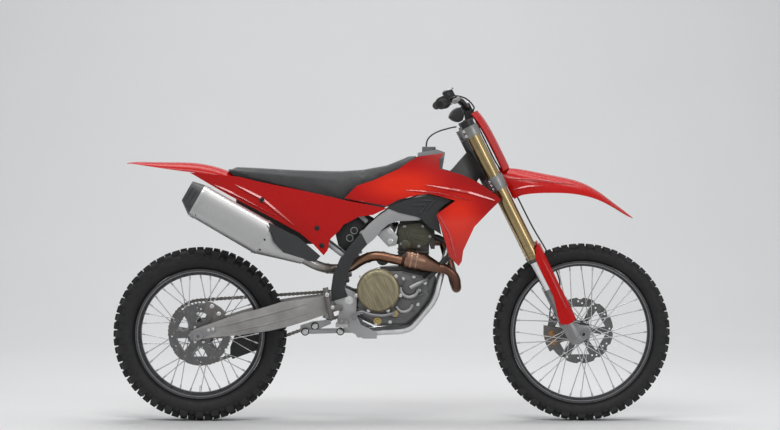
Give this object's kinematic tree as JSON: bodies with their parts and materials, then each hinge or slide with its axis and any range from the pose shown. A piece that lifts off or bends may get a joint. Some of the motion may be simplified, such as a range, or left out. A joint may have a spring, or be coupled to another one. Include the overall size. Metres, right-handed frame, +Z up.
{
  "type": "motocross bike",
  "caption": "Off-road racing motorcycle with a long flat seat, red bodywork, twin-spar frame, single silencer on the right, wire wheels and a long upside-down fork",
  "frame": {"origin": "on the seat's top, where the rider sits", "axes": "+X forward, +Y to the rider's left, +Z up"},
  "size_m": [2.1791, 0.8102, 1.2947],
  "materials": {
    "axle_steel": "satin",
    "black_bar": "satin black",
    "black_control": "satin black",
    "black_plastic": "moulded",
    "black_rim": "satin black",
    "bright_tube": "satin",
    "cable_rubber": "smooth",
    "caliper_metal": "dark",
    "chain_steel": "oiled",
    "clamp_metal": "satin",
    "control_metal": "forged",
    "cover_metal": "bronze",
    "cylinder_metal": "cast",
    "dark_cap": "moulded",
    "disc_steel": "ground",
    "duct_rubber": "moulded",
    "engine_metal": "cast grey",
    "fork_metal": "satin",
    "frame_metal": "satin",
    "gold_tube": "gold anodised",
    "grip_rubber": "ribbed",
    "guide_plastic": "moulded",
    "header_steel": "heat tinted",
    "hub_metal": "satin",
    "pad_cover": "padded",
    "peg_steel": "cast",
    "radiator_metal": "finned",
    "red_plastic": "gloss",
    "seat_cover": "grippy cover",
    "silencer_metal": "satin",
    "spoke_steel": "bright",
    "spring_steel": "painted",
    "sprocket_metal": "satin",
    "subframe_metal": "satin",
    "swingarm_metal": "satin grey",
    "tank_plastic": "moulded",
    "tyre": "matte rubber"
  },
  "bodies": {
    "chassis": {"airbox": "black_plastic", "chain": "chain_steel", "chain_guide": "guide_plastic", "engine_cases": "engine_metal", "engine_covers": "cover_metal", "engine_cylinder": "cylinder_metal", "foot_controls": "control_metal", "footpegs": "peg_steel", "frame_cradle": "bright_tube", "frame_guards": "black_plastic", "fuel_tank": "tank_plastic", "header_pipe": "header_steel", "intake_duct": "duct_rubber", "main_frame": "frame_metal", "radiators": "radiator_metal", "rear_axle": "axle_steel", "rear_brake": "caliper_metal", "rear_fender": "red_plastic", "rear_suspension": "spring_steel", "seat": "seat_cover", "shroud_inserts": "black_plastic", "shroud_left": "red_plastic", "shroud_right": "red_plastic", "side_panel_left": "red_plastic", "side_panel_right": "red_plastic", "silencer_can": "silencer_metal", "silencer_end_cap": "dark_cap", "silencer_shield": "black_plastic", "subframe": "subframe_metal", "swingarm": "swingarm_metal", "vent_hose": "cable_rubber"},
    "rear_wheel": {"rear_disc": "disc_steel", "rear_hub": "hub_metal", "rear_rim": "black_rim", "rear_spokes": "spoke_steel", "rear_sprocket": "sprocket_metal", "rear_tyre": "tyre"},
    "steering": {"bar_pad": "pad_cover", "brake_hose": "cable_rubber", "fork_guards": "red_plastic", "fork_lowers": "fork_metal", "fork_tubes": "gold_tube", "front_axle": "axle_steel", "front_caliper": "caliper_metal", "front_fender": "red_plastic", "grips": "grip_rubber", "hand_controls": "black_control", "handlebar": "black_bar", "number_plate": "red_plastic", "triple_clamps": "clamp_metal"},
    "front_wheel": {"front_disc": "disc_steel", "front_hub": "hub_metal", "front_rim": "black_rim", "front_spokes": "spoke_steel", "front_tyre": "tyre"}
  },
  "joints": [
    {"name": "rear_wheel_spin", "type": "hinge", "parent": "chassis", "child": "rear_wheel", "pos_m": [-0.54, 0, -0.63], "axis": [0, 1, 0], "continuous": true},
    {"name": "steering_turn", "type": "hinge", "parent": "chassis", "child": "steering", "pos_m": [0.55199, 0, 0.04802], "axis": [-0.4478, 0, 0.8942], "range_deg": [-42, 42]},
    {"name": "front_wheel_spin", "type": "hinge", "parent": "steering", "child": "front_wheel", "pos_m": [0.954, 0, -0.623], "axis": [0, 1, 0], "continuous": true}
  ]
}
